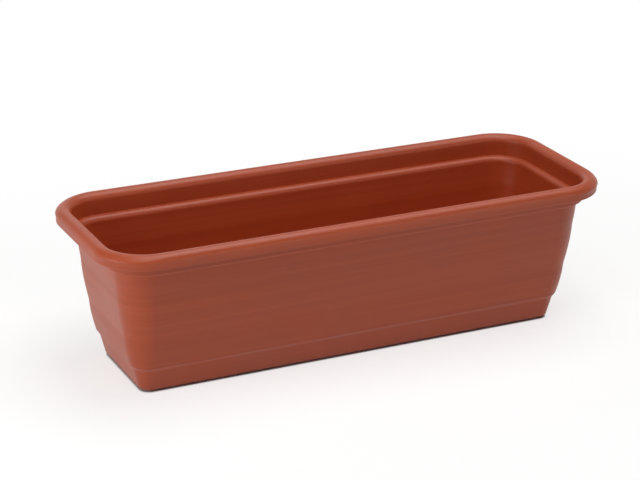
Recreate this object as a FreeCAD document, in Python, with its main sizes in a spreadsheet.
"""Window box planter: a moulded trough that nests in its own drip tray, with push-in drain plugs.

Units are millimetres. The frame is +X along the length, -Y towards the front, +Z up, and the origin is
on the ground under the middle of the planter. An "inset" is measured level, inwards from the outer face
of the rim, so every outline of the planter is a rounded rectangle with an inset and a corner radius.
"""
import FreeCAD, Part
import math
import os

import Sketcher
from FreeCAD import Vector

# ---------------------------------------------------------------- driving sizes
SIZES = [
    # overall
    ("length", 500.0, "outside length of the rim"),
    ("width", 183.0, "outside width of the rim"),
    ("height", 145.0, "ground to the top of the rim"),
    ("rim_corner", 47.7, "corner radius of the rim's outer face, seen from above"),
    ("seat_corner", 16.4, "corner radius where the trough closes over the tray"),
    ("wall", 2.2, "thickness of the trough's moulding"),
    # rolled rim and stacking ledge
    ("rim_width", 14.0, "level width of the rolled rim, twice its crown radius"),
    ("rim_skirt", 12.8, "height of the rim from its lower edge to its top"),
    ("ledge_depth", 20.1, "top of the rim down to the stacking ledge"),
    ("ledge_inset", 14.6, "inset of the collar's inner face at the ledge"),
    ("ledge_round", 5.5, "radius of the ledge's inner edge"),
    # the wall's three bands: insets of its outer face
    ("wall_top_inset", 18.2, "outer face just under the ledge"),
    ("upper_belly_inset", 19.4, "outer face where the upper band starts to turn in"),
    ("upper_waist_inset", 20.8, "outer face at the foot of the upper band"),
    ("middle_belly_inset", 22.4, "outer face half way down the middle band"),
    ("middle_turn_inset", 24.6, "outer face where the middle band starts to turn in"),
    ("lower_waist_inset", 26.7, "outer face at the foot of the middle band"),
    ("lower_belly_inset", 28.9, "outer face half way down the lower band"),
    ("shoulder_inset", 32.1, "outer face at the shoulder over the tray"),
    ("lip_inset", 34.2, "outer face at the lip, the shoulder's lower edge"),
    # heights of the same places
    ("upper_waist_drop", 48.0, "top of the rim down to the foot of the upper band"),
    ("upper_turn_rise", 9.0, "how far above its foot the upper band starts to turn in"),
    ("middle_turn_rise", 10.0, "how far above its foot the middle band starts to turn in"),
    ("lower_waist_height", 56.0, "ground to the foot of the middle band"),
    ("lower_belly_height", 40.0, "ground to the middle of the lower band"),
    ("shoulder_height", 26.4, "ground to the shoulder"),
    ("lip_height", 23.2, "ground to the lip's lower edge"),
    # how the trough closes over the tray
    ("lip_edge", 0.4, "width of the lip's lower edge"),
    ("lip_reach", 2.8, "how far the lip hangs down over the tray's edge"),
    ("nest_gap", 0.3, "clearance between the tray's edge and the lip, and above it"),
    ("foot_gap", 0.5, "clearance between the tray's inner face and the trough's foot"),
    # tray
    ("tray_wall", 2.0, "thickness of the tray's moulding"),
    ("tray_base_inset", 40.3, "outer face of the tray at its underside"),
    ("tray_round", 2.2, "radius round the tray's bottom edge"),
    ("tray_inner_round", 2.0, "radius inside the tray, between wall and floor"),
    ("pad_height", 2.3, "how far the tray's foot pads hold it off the ground"),
    ("pad_radius", 7.0, "radius of a foot pad"),
    ("pad_inset", 53.0, "middle of a foot pad, in from the rim's outer face"),
    ("pad_columns", 3, "foot pads along each long side"),
    ("rib_height", 6.7, "height of the ribs that hold the trough above the tray's floor"),
    ("rib_thickness", 2.4, "thickness of a rib, along the length"),
    ("rib_reach", 9.0, "how far a rib stands in from the foot of the tray's inner face"),
    ("rib_columns", 5, "ribs along each long side"),
    ("rib_end_margin", 75.0, "end of the planter to the first rib"),
    # trough floor
    ("foot_round", 3.0, "radius round the trough's foot"),
    ("floor_round", 3.0, "radius inside the trough, between wall and floor"),
    ("hole_radius", 6.0, "radius of a drain hole"),
    ("hole_columns", 3, "drain holes along the length, in each of two rows"),
    ("hole_end_margin", 110.0, "end of the planter to the first drain hole"),
    ("hole_row_spacing", 44.0, "between the two rows of drain holes"),
    ("boss_radius", 10.5, "radius of the raised seat round a drain hole"),
    ("boss_height", 1.2, "height of that seat above the floor"),
    # drain plugs
    ("plug_gap", 0.06, "radial clearance of a plug in its hole"),
    ("plug_tip", 1.6, "how far a plug stands out under the floor"),
    ("plug_wall", 1.5, "thickness of the plug's hollow stem"),
    ("plug_head_radius", 9.0, "radius of the plug's head"),
    ("plug_head_height", 1.8, "thickness of the plug's head"),
    ("plug_grip_length", 11.0, "length of the grip on the plug's head"),
    ("plug_grip_width", 2.6, "thickness of that grip"),
    ("plug_grip_height", 6.0, "height of that grip"),
]

doc = FreeCAD.newDocument("window_box_planter")
sizes = doc.addObject("Spreadsheet::Sheet", "sizes")
for row, (alias, value, note) in enumerate(SIZES, start=1):
    sizes.set(f"A{row}", alias)
    sizes.set(f"B{row}", str(value))
    sizes.setAlias(f"B{row}", alias)
    sizes.set(f"C{row}", note)
doc.recompute()


def number(expression):
    """The value, in millimetres, of an expression on the sheet."""
    return float(sizes.evalExpression(expression))


# ---------------------------------------------------------------- places worked out from the sizes
LEDGE_Z = "(sizes.height - sizes.ledge_depth)"
WALL_TOP_Z = f"({LEDGE_Z} - sizes.ledge_round - sizes.wall)"
UPPER_WAIST_Z = "(sizes.height - sizes.upper_waist_drop)"
UPPER_BELLY_Z = f"({UPPER_WAIST_Z} + sizes.upper_turn_rise)"
MIDDLE_TURN_Z = "(sizes.lower_waist_height + sizes.middle_turn_rise)"
MIDDLE_BELLY_Z = f"(({UPPER_WAIST_Z} + {MIDDLE_TURN_Z}) / 2)"
WEB_UNDERSIDE_Z = "(sizes.lip_height + sizes.lip_reach)"
WEB_TOP_Z = f"({WEB_UNDERSIDE_Z} + sizes.wall)"
TRAY_FLOOR_Z = "(sizes.pad_height + sizes.tray_wall)"
FOOT_Z = f"({TRAY_FLOOR_Z} + sizes.rib_height)"
FLOOR_Z = f"({FOOT_Z} + sizes.wall)"
TRAY_EDGE_Z = f"({WEB_UNDERSIDE_Z} - sizes.nest_gap)"
TRAY_TURN_Z = "(sizes.lip_height - sizes.nest_gap)"

SEAT_INSET = "(sizes.lip_inset + sizes.lip_edge)"
TRAY_TOP_INSET = f"({SEAT_INSET} + sizes.nest_gap)"
TRAY_FLARE = f"((sizes.tray_base_inset - {TRAY_TOP_INSET}) / ({TRAY_TURN_Z} - sizes.pad_height))"
FOOT_TOP_INSET = f"({TRAY_TOP_INSET} + sizes.tray_wall + sizes.foot_gap)"
FOOT_BASE_INSET = f"({FOOT_TOP_INSET} + {TRAY_FLARE} * ({TRAY_TURN_Z} - {FOOT_Z}))"
FLOOR_INSET = f"({FOOT_BASE_INSET} - {TRAY_FLARE} * sizes.wall)"
TRAY_FLOOR_INSET = f"(sizes.tray_base_inset - {TRAY_FLARE} * sizes.tray_wall)"

# the outer face of the wall from the top down: height, inset
WALL_STATIONS = [
    ("wall_top", WALL_TOP_Z, "sizes.wall_top_inset"),
    ("upper_belly", UPPER_BELLY_Z, "sizes.upper_belly_inset"),
    ("upper_waist", UPPER_WAIST_Z, "sizes.upper_waist_inset"),
    ("middle_belly", MIDDLE_BELLY_Z, "sizes.middle_belly_inset"),
    ("middle_turn", MIDDLE_TURN_Z, "sizes.middle_turn_inset"),
    ("lower_waist", "sizes.lower_waist_height", "sizes.lower_waist_inset"),
    ("lower_belly", "sizes.lower_belly_height", "sizes.lower_belly_inset"),
    ("shoulder", "sizes.shoulder_height", "sizes.shoulder_inset"),
    ("lip", "sizes.lip_height", "sizes.lip_inset"),
]


def wall_corner(inset):
    """Corner radius of the wall's outer face: it narrows evenly from under the ledge to the seat."""
    top = "(sizes.rim_corner - sizes.wall_top_inset)"
    share = f"(({inset}) - sizes.wall_top_inset) / ({SEAT_INSET} - sizes.wall_top_inset)"
    return f"({top} - ({top} - sizes.seat_corner) * {share})"


def seat_corner(inset):
    """Corner radius below the lip, where every outline runs parallel to the seat."""
    return f"(sizes.seat_corner + {SEAT_INSET} - ({inset}))"


# ---------------------------------------------------------------- sketch and feature helpers
SAME_LEVEL = 1e-4  # an edge within this of a height lies at it
SAME_PLACE = 1e-3  # and within this of an outline's side lies on it


def new_body(label):
    body = doc.addObject("PartDesign::Body", label)
    body.Label = label
    return body


def new_sketch(body, name, plane="XY_Plane", height=None):
    """A sketch on one of the body's origin planes, lifted by the expression height."""
    support = next(item for item in body.Origin.OriginFeatures if item.Role == plane)
    sketch = body.newObject("Sketcher::SketchObject", name)
    sketch.AttachmentSupport = [(support, "")]
    sketch.MapMode = "FlatFace"
    if height:
        sketch.setExpression("AttachmentOffset.Base.z", height)
    return sketch


def dimension(sketch, name, expression, kind, *where):
    """Adds a dimension that follows an expression on the sheet."""
    index = sketch.addConstraint(Sketcher.Constraint(kind, *where, number(expression)))
    sketch.renameConstraint(index, name)
    sketch.setExpression(f"Constraints.{name}", expression)


def rounded_rectangle(body, name, height, inset, corner):
    """A rounded rectangle round the Z axis, inset from the rim's outer face."""
    sketch = new_sketch(body, name, height=height)
    across = f"sizes.length - 2 * ({inset})"
    deep = f"sizes.width - 2 * ({inset})"
    x, y, r = number(across) / 2, number(deep) / 2, number(corner)
    centres = [(x - r, r - y), (x - r, y - r), (r - x, y - r), (r - x, r - y)]
    starts = [(r - x, -y), (x, r - y), (x - r, y), (-x, y - r)]
    ends = [(x - r, -y), (x, y - r), (r - x, y), (-x, r - y)]
    quarter_turn = math.pi / 2
    for side in range(4):
        sketch.addGeometry(Part.LineSegment(Vector(*starts[side], 0), Vector(*ends[side], 0)))
        circle = Part.Circle(Vector(*centres[side], 0), Vector(0, 0, 1), r)
        sketch.addGeometry(Part.ArcOfCircle(circle, (side - 1) * quarter_turn, side * quarter_turn))
    for edge in range(8):
        sketch.addConstraint(Sketcher.Constraint("Tangent", edge, 2, (edge + 1) % 8, 1))
    for side, direction in enumerate(["Horizontal", "Vertical"] * 2):
        sketch.addConstraint(Sketcher.Constraint(direction, 2 * side))
    for arc in (3, 5, 7):
        sketch.addConstraint(Sketcher.Constraint("Equal", 1, arc))
    sketch.addConstraint(Sketcher.Constraint("Symmetric", 1, 3, 5, 3, -1, 1))
    dimension(sketch, "across", across, "DistanceX", 6, 1, 2, 1)
    dimension(sketch, "deep", deep, "DistanceY", 0, 1, 4, 1)
    dimension(sketch, "corner", corner, "Radius", 1)
    return sketch


def loft(body, name, kind, sections):
    """A straight-sided loft through rounded rectangles, from the top down."""
    feature = body.newObject(f"PartDesign::{kind}", name)
    feature.Profile = sections[0]
    feature.Sections = sections[1:]
    feature.Ruled = True
    return feature


def pad(body, name, sketch, height, kind="Pad", reverse=False):
    """A straight pad, or a pocket where kind says so, from a sketch to a height above or below it."""
    feature = body.newObject(f"PartDesign::{kind}", name)
    feature.Profile = sketch
    feature.setExpression("Length", height)
    feature.Reversed = reverse
    return feature


def edges_at(feature, height, inset):
    """Names of the edges of one level outline: those at a height that touch its four straight sides."""
    doc.recompute()
    level = number(height)
    reach_x = number(f"sizes.length / 2 - ({inset})")
    reach_y = number(f"sizes.width / 2 - ({inset})")
    corner = number("sizes.rim_corner")
    found = []
    for index, edge in enumerate(feature.Shape.Edges, start=1):
        box = edge.BoundBox
        if abs(box.ZMin - level) > SAME_LEVEL or abs(box.ZMax - level) > SAME_LEVEL:
            continue
        far_x, far_y = max(-box.XMin, box.XMax), max(-box.YMin, box.YMax)
        on_outline = abs(far_x - reach_x) < SAME_PLACE or abs(far_y - reach_y) < SAME_PLACE
        if on_outline and far_x > reach_x - corner and far_y > reach_y - corner:
            found.append(f"Edge{index}")
    return found


def fillet(body, name, base, height, inset, radius):
    """A fillet all round one level outline of the feature base."""
    edges = edges_at(base, height, inset)
    feature = body.newObject("PartDesign::Fillet", name)
    feature.Base = (base, edges)
    feature.setExpression("Radius", radius)
    return feature


def circles(body, name, height, centres, radius):
    """A sketch of equal circles at centres, each an (x, y) pair of expressions."""
    sketch = new_sketch(body, name, height=height)
    for index, (x, y) in enumerate(centres):
        middle = Vector(number(x), number(y), 0)
        sketch.addGeometry(Part.Circle(middle, Vector(0, 0, 1), number(radius)))
        dimension(sketch, f"x_{index + 1}", x, "DistanceX", index, 3)
        dimension(sketch, f"y_{index + 1}", y, "DistanceY", index, 3)
        dimension(sketch, f"radius_{index + 1}", radius, "Radius", index)
    return sketch


def rectangles(body, name, height, boxes):
    """A sketch of upright rectangles, each an (x low, x high, y low, y high) of expressions."""
    sketch = new_sketch(body, name, height=height)
    for index, (x_low, x_high, y_low, y_high) in enumerate(boxes):
        left, right, low, high = (number(side) for side in (x_low, x_high, y_low, y_high))
        plan = [(left, low), (right, low), (right, high), (left, high)]
        points = [Vector(across, deep, 0) for across, deep in plan]
        first = 4 * index
        for side in range(4):
            sketch.addGeometry(Part.LineSegment(points[side], points[(side + 1) % 4]))
        for side, direction in enumerate(["Horizontal", "Vertical"] * 2):
            joint = (first + side, 2, first + (side + 1) % 4, 1)
            sketch.addConstraint(Sketcher.Constraint("Coincident", *joint))
            sketch.addConstraint(Sketcher.Constraint(direction, first + side))
        dimension(sketch, f"left_{index + 1}", x_low, "DistanceX", first, 1)
        dimension(sketch, f"right_{index + 1}", x_high, "DistanceX", first + 2, 1)
        dimension(sketch, f"low_{index + 1}", y_low, "DistanceY", first, 1)
        dimension(sketch, f"high_{index + 1}", y_high, "DistanceY", first + 2, 1)
    return sketch


def outline(body, name, plane, corners, arc_centres):
    """A closed outline through corners, each an (x, y) pair of expressions.

    arc_centres gives, for each edge that is an arc and not a line, its centre's (x, y) and whether it
    turns left: the edge is numbered by the corner that it starts from.
    """
    sketch = new_sketch(body, name, plane=plane)
    points = [Vector(number(x), number(y), 0) for x, y in corners]
    starts, ends = [], []
    for index, start in enumerate(points):
        end = points[(index + 1) % len(points)]
        if index not in arc_centres:
            sketch.addGeometry(Part.LineSegment(start, end))
            starts.append(1)
            ends.append(2)
            continue
        x, y, turns_left = arc_centres[index]
        centre = Vector(number(x), number(y), 0)
        circle = Part.Circle(centre, Vector(0, 0, 1), centre.distanceToPoint(start))
        first, last = (start, end) if turns_left else (end, start)
        sketch.addGeometry(Part.ArcOfCircle(circle, circle.parameter(first), circle.parameter(last)))
        starts.append(1 if turns_left else 2)
        ends.append(2 if turns_left else 1)
    for index, (x, y) in enumerate(corners):
        before = (index - 1) % len(corners)
        joint = (before, ends[before], index, starts[index])
        sketch.addConstraint(Sketcher.Constraint("Coincident", *joint))
        dimension(sketch, f"x_{index + 1}", x, "DistanceX", index, starts[index])
        dimension(sketch, f"y_{index + 1}", y, "DistanceY", index, starts[index])
    for index, (x, y, turns_left) in arc_centres.items():
        dimension(sketch, f"centre_{index + 1}", y, "DistanceY", index, 3)
    return sketch


# ---------------------------------------------------------------- rows of holes, pads and ribs
def spread(count_alias, margin):
    """X positions, as expressions, of things spaced evenly between the two ends' margins."""
    count = int(number(count_alias))
    half = f"(sizes.length / 2 - {margin})"
    return [f"{half} * ({2 * index - (count - 1)} / {count - 1})" for index in range(count)]


def hole_centres():
    """Centres of the drain holes, in two rows."""
    rows = ["(-sizes.hole_row_spacing / 2)", "(sizes.hole_row_spacing / 2)"]
    columns = spread("sizes.hole_columns", "sizes.hole_end_margin")
    return [(x, y) for y in rows for x in columns]


def pad_centres():
    """Centres of the tray's foot pads, in two rows."""
    rows = ["(sizes.pad_inset - sizes.width / 2)", "(sizes.width / 2 - sizes.pad_inset)"]
    return [(x, y) for y in rows for x in spread("sizes.pad_columns", "sizes.pad_inset")]


def rib_boxes():
    """Plan of the tray's ribs: x low, x high, y low, y high. Each is rooted in the tray's wall."""
    inner_face = f"(sizes.width / 2 - {TRAY_FLOOR_INSET} - sizes.tray_wall)"
    root = f"({inner_face} + sizes.tray_wall / 2)"
    tip = f"({inner_face} - sizes.rib_reach)"
    boxes = []
    for x in spread("sizes.rib_columns", "sizes.rib_end_margin"):
        sides = (f"({x} - sizes.rib_thickness / 2)", f"({x} + sizes.rib_thickness / 2)")
        boxes.append((*sides, f"(-{root})", f"(-{tip})"))
        boxes.append((*sides, tip, root))
    return boxes


# ---------------------------------------------------------------- trough: rim, collar and ledge
CROWN_Z = "(sizes.height - sizes.rim_width / 2)"
SKIRT_Z = "(sizes.height - sizes.rim_skirt)"


def rim_section(body):
    """The rolled rim, collar and ledge, cut through the back wall: sketch X is +Y, sketch Y is +Z.

    The outline runs up the skirt, over the crown, down the collar, over the ledge and down the wall, then
    back up the hidden side, one wall thickness away.
    """
    def across(inset):
        return f"(sizes.width / 2 - ({inset}))"

    wall_inset = "(sizes.wall_top_inset + sizes.wall)"
    turn_inset = f"({wall_inset} - sizes.ledge_round)"
    turn_z = f"({LEDGE_Z} - sizes.ledge_round)"
    corners = [
        (across("0"), SKIRT_Z),
        (across("0"), CROWN_Z),
        (across("sizes.rim_width"), CROWN_Z),
        (across("sizes.ledge_inset"), LEDGE_Z),
        (across(turn_inset), LEDGE_Z),
        (across(wall_inset), turn_z),
        (across(wall_inset), WALL_TOP_Z),
        (across("sizes.wall_top_inset"), WALL_TOP_Z),
        (across("sizes.wall_top_inset"), turn_z),
        (across(turn_inset), f"({LEDGE_Z} - sizes.wall)"),
        (across("sizes.ledge_inset - sizes.wall"), f"({LEDGE_Z} - sizes.wall)"),
        (across("sizes.rim_width - sizes.wall"), CROWN_Z),
        (across("sizes.wall"), CROWN_Z),
        (across("sizes.wall"), SKIRT_Z),
    ]
    crown_centre = (across("sizes.rim_width / 2"), CROWN_Z)
    ledge_centre = (across(turn_inset), turn_z)
    arcs = {1: (*crown_centre, True), 4: (*ledge_centre, True),
            8: (*ledge_centre, False), 11: (*crown_centre, False)}
    return outline(body, "rim_section", "YZ_Plane", corners, arcs)


def trough_body():
    """The planted trough: swept rim, banded wall, shoulder and lip, foot and drained floor."""
    body = new_body("trough_shell")

    outer = [rounded_rectangle(body, f"{name}_outer", z, inset, wall_corner(inset))
             for name, z, inset in WALL_STATIONS]
    loft(body, "wall_outside", "AdditiveLoft", outer)

    lip_face = rounded_rectangle(body, "lip_face", "sizes.lip_height", SEAT_INSET, "sizes.seat_corner")
    pad(body, "lip_recess", lip_face, "sizes.lip_reach", kind="Pocket", reverse=True)

    foot = [rounded_rectangle(body, f"foot_{name}", z, inset, seat_corner(inset))
            for name, z, inset in (("top", WEB_TOP_Z, FOOT_TOP_INSET), ("base", FOOT_Z, FOOT_BASE_INSET))]
    foot_outside = loft(body, "foot_outside", "AdditiveLoft", foot)
    fillet(body, "rounded_foot", foot_outside, FOOT_Z, FOOT_BASE_INSET, "sizes.foot_round")

    inner = []
    for name, z, inset in WALL_STATIONS[:-2]:
        inside = f"({inset} + sizes.wall)"
        corner = f"({wall_corner(inset)} - sizes.wall)"
        inner.append(rounded_rectangle(body, f"{name}_inner", z, inside, corner))
    shoulder_inside = "(sizes.shoulder_inset + sizes.wall)"
    shoulder_corner = f"({wall_corner('sizes.shoulder_inset')} - sizes.wall)"
    inner.append(rounded_rectangle(body, "shoulder_inner", WEB_TOP_Z, shoulder_inside, shoulder_corner))
    loft(body, "wall_inside", "SubtractiveLoft", inner)

    well = []
    for name, z, inset in (("top", WEB_TOP_Z, FOOT_TOP_INSET), ("base", FLOOR_Z, FLOOR_INSET)):
        inside = f"({inset} + sizes.wall)"
        well.append(rounded_rectangle(body, f"well_{name}", z, inside, seat_corner(inside)))
    foot_inside = loft(body, "foot_inside", "SubtractiveLoft", well)
    floor_edge = f"({FLOOR_INSET} + sizes.wall)"
    fillet(body, "rounded_floor", foot_inside, FLOOR_Z, floor_edge, "sizes.floor_round")

    path = rounded_rectangle(body, "rim_path", CROWN_Z, "0", "sizes.rim_corner")
    rim = body.newObject("PartDesign::AdditivePipe", "rolled_rim")
    rim.Profile = rim_section(body)
    rim.Spine = path

    bosses = circles(body, "boss_outlines", FLOOR_Z, hole_centres(), "sizes.boss_radius")
    pad(body, "hole_seats", bosses, "sizes.boss_height")
    holes = circles(body, "hole_outlines", FOOT_Z, hole_centres(), "sizes.hole_radius")
    pad(body, "drain_holes", holes, "sizes.wall + sizes.boss_height", kind="Pocket", reverse=True)
    return body


# ---------------------------------------------------------------- drip tray
def tray_body():
    """The drip tray: a flared wall with an upright edge, foot pads below and ribs inside."""
    body = new_body("drip_tray")
    edge, turn = ("edge", TRAY_EDGE_Z, TRAY_TOP_INSET), ("turn", TRAY_TURN_Z, TRAY_TOP_INSET)
    base = ("base", "sizes.pad_height", "sizes.tray_base_inset")
    outer = [rounded_rectangle(body, f"tray_{name}_outer", z, inset, seat_corner(inset))
             for name, z, inset in (edge, turn, base)]
    outside = loft(body, "tray_outside", "AdditiveLoft", outer)
    fillet(body, "rounded_base", outside, "sizes.pad_height", "sizes.tray_base_inset", "sizes.tray_round")
    inner = []
    for name, z, inset in (edge, turn, ("floor", TRAY_FLOOR_Z, TRAY_FLOOR_INSET)):
        inside = f"({inset} + sizes.tray_wall)"
        inner.append(rounded_rectangle(body, f"tray_{name}_inner", z, inside, seat_corner(inside)))
    hollow = loft(body, "tray_inside", "SubtractiveLoft", inner)
    floor_edge = f"({TRAY_FLOOR_INSET} + sizes.tray_wall)"
    fillet(body, "rounded_inside", hollow, TRAY_FLOOR_Z, floor_edge, "sizes.tray_inner_round")

    pads = circles(body, "pad_outlines", "sizes.pad_height", pad_centres(), "sizes.pad_radius")
    pad(body, "foot_pads", pads, "sizes.pad_height", reverse=True)
    ribs = rectangles(body, "rib_outlines", TRAY_FLOOR_Z, rib_boxes())
    pad(body, "support_ribs", ribs, "sizes.rib_height")
    return body


# ---------------------------------------------------------------- drain plugs
def plug_body(label, x, y):
    """A hollow push-in plug: a head on the hole's seat, a stem through the floor and a grip on top."""
    body = new_body(label)
    stem = "(sizes.hole_radius - sizes.plug_gap)"
    seat = f"({FLOOR_Z} + sizes.boss_height)"
    tip = f"({FOOT_Z} - sizes.plug_tip)"
    corners = [
        ("0", f"({seat} + sizes.plug_head_height)"),
        ("0", seat),
        (f"({stem} - sizes.plug_wall)", seat),
        (f"({stem} - sizes.plug_wall)", tip),
        (stem, tip),
        (stem, seat),
        ("sizes.plug_head_radius", seat),
        ("sizes.plug_head_radius", f"({seat} + sizes.plug_head_height)"),
    ]
    section = outline(body, f"{label}_section", "XZ_Plane", corners, {})
    turned = body.newObject("PartDesign::Revolution", f"{label}_turned")
    turned.Profile = section
    turned.ReferenceAxis = (section, ["V_Axis"])
    turned.Angle = 360
    grip_box = ("-sizes.plug_grip_length / 2", "sizes.plug_grip_length / 2",
                "-sizes.plug_grip_width / 2", "sizes.plug_grip_width / 2")
    grip = rectangles(body, f"{label}_grip_outline", f"({seat} + sizes.plug_head_height)", [grip_box])
    pad(body, f"{label}_grip", grip, "sizes.plug_grip_height")
    body.setExpression("Placement.Base.x", x)
    body.setExpression("Placement.Base.y", y)
    return body


bodies = [trough_body(), tray_body()]
for index, (x, y) in enumerate(hole_centres(), start=1):
    bodies.append(plug_body(f"drain_plug_{index}", x, y))
doc.recompute()

# ---------------------------------------------------------------- checks, then one STEP file per piece
for item in doc.Objects:
    if {"Invalid", "Error"} & set(item.State):
        raise RuntimeError(f"{item.Name} did not build: {item.State}")
os.makedirs("parts", exist_ok=True)
for body in bodies:
    shape = body.Shape
    if shape.isNull() or not shape.isValid() or len(shape.Solids) != 1:
        raise RuntimeError(f"{body.Label} is not one sound solid")
    print(f"{body.Label}: {shape.Volume / 1000:.1f} cm3, {len(shape.Faces)} faces")
    shape.exportStep(f"parts/{body.Label}.step")
